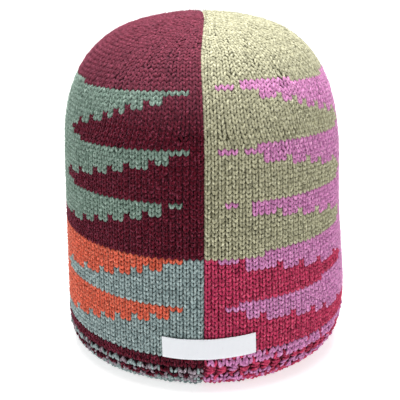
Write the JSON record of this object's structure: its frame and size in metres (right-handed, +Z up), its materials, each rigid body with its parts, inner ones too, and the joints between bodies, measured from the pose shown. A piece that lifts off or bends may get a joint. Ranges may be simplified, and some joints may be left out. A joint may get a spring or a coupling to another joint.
{
  "type": "wool hat",
  "caption": "Knitted wool beanie with a rounded crown, halves in different yarns with wedge stripes, a thick curled hem and a bare woven label, open below.",
  "frame": {"origin": "on the surface that the rim stands on, under the top of the crown", "axes": "+Z up the hat, -Y towards the front with the label, +X to the right as seen from the front"},
  "size_m": [0.1706, 0.1772, 0.201],
  "materials": {
    "burgundy_wool": "matte",
    "khaki_wool": "matte",
    "grey_wool": "matte",
    "crimson_wool": "matte",
    "burgundy_grey_wool": "matte",
    "crimson_pink_wool": "matte",
    "sage_wool": "matte",
    "orange_wool": "matte",
    "pink_wool": "matte",
    "white_woven_tape": "matte"
  },
  "bodies": {
    "root": {"crown_left": "burgundy_wool", "crown_right": "khaki_wool", "side_left": "grey_wool", "side_right": "crimson_wool", "hem_left": "burgundy_grey_wool", "hem_right": "crimson_pink_wool", "label": "white_woven_tape"}
  },
  "joints": []
}
